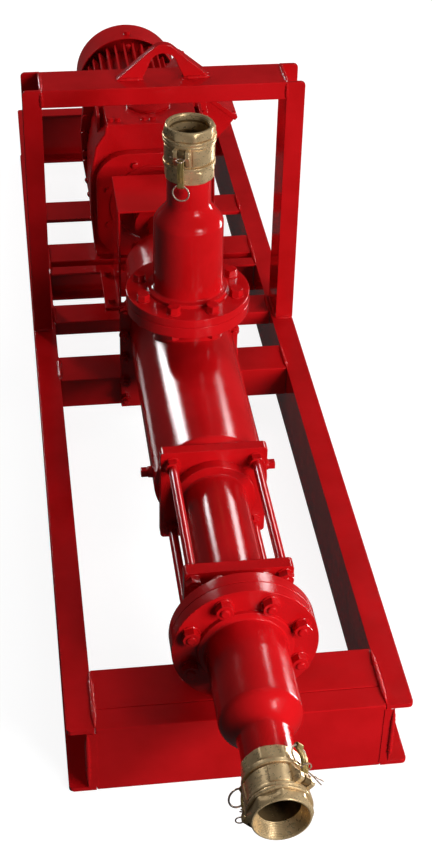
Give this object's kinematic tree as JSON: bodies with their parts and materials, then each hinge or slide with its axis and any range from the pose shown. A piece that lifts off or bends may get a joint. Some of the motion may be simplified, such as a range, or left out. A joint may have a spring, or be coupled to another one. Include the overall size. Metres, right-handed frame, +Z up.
{
  "type": "progressive cavity pump on skid",
  "caption": "Progressive cavity pump with gearmotor on a channel-steel skid with a lift frame, cam-lever couplings on its suction riser and its discharge.",
  "frame": {"origin": "on the ground, at the middle of the overall length and of the skid's width", "axes": "+X to the right when facing from the discharge end, +Y along the pump towards the motor, +Z up"},
  "size_m": [0.6096, 2.7996, 0.8496],
  "materials": {
    "red_enamel": "thick glossy red enamel",
    "coupling_brass": "cast and machined, satin",
    "bright_steel": "plain wire"
  },
  "bodies": {
    "skid_and_pump": {"bearing_housing": "red_enamel", "coupling_guard": "red_enamel", "discharge_adapter": "coupling_brass", "discharge_coupler": "coupling_brass", "discharge_head": "red_enamel", "discharge_spool": "red_enamel", "drive_coupling": "red_enamel", "fan_cowl": "red_enamel", "frame_crossmember": "red_enamel", "front_crossmember": "red_enamel", "front_end_channel": "red_enamel", "gearbox_cap": "red_enamel", "gearbox_crossmember": "red_enamel", "gearbox_housing": "red_enamel", "gearbox_output_flange": "red_enamel", "guard_crossmember": "red_enamel", "housing_plug_left": "red_enamel", "housing_plug_right": "red_enamel", "lift_beam": "red_enamel", "lift_post_left": "red_enamel", "lift_post_right": "red_enamel", "lifting_lug": "red_enamel", "motor_body": "red_enamel", "motor_crossmember": "red_enamel", "motor_flange": "red_enamel", "pump_crossmember": "red_enamel", "pump_rear_support": "red_enamel", "rail_left": "red_enamel", "rail_right": "red_enamel", "rear_end_channel": "red_enamel", "stator_tube": "red_enamel", "suction_adapter": "coupling_brass", "suction_coupler": "coupling_brass", "suction_housing": "red_enamel", "suction_spool": "red_enamel", "terminal_box": "red_enamel", "tie_rod_1": "red_enamel", "tie_rod_2": "red_enamel", "tie_rod_3": "red_enamel", "tie_rod_4": "red_enamel"},
    "discharge_lever_a_body": {"discharge_lever_a": "coupling_brass", "discharge_lever_a_ring": "bright_steel"},
    "discharge_lever_b_body": {"discharge_lever_b": "coupling_brass", "discharge_lever_b_ring": "bright_steel"},
    "suction_lever_a_body": {"suction_lever_a": "coupling_brass", "suction_lever_a_ring": "bright_steel"},
    "suction_lever_b_body": {"suction_lever_b": "coupling_brass", "suction_lever_b_ring": "bright_steel"}
  },
  "joints": [
    {"name": "discharge_lever_a_pivot", "type": "hinge", "parent": "skid_and_pump", "child": "discharge_lever_a_body", "pos_m": [0.04671, -1.36296, 0.3303], "axis": [0.7314, 0, -0.682], "range_deg": [0, 100]},
    {"name": "discharge_lever_b_pivot", "type": "hinge", "parent": "skid_and_pump", "child": "discharge_lever_b_body", "pos_m": [-0.03401, -1.36296, 0.24374], "axis": [-0.7314, 0, 0.682], "range_deg": [0, 100]},
    {"name": "suction_lever_a_pivot", "type": "hinge", "parent": "skid_and_pump", "child": "suction_lever_a_body", "pos_m": [0.02852, -0.11378, 0.8128], "axis": [0.9272, -0.3746, 0], "range_deg": [0, 100]},
    {"name": "suction_lever_b_pivot", "type": "hinge", "parent": "skid_and_pump", "child": "suction_lever_b_body", "pos_m": [-0.01582, -0.22353, 0.8128], "axis": [-0.9272, 0.3746, 0], "range_deg": [0, 100]}
  ]
}
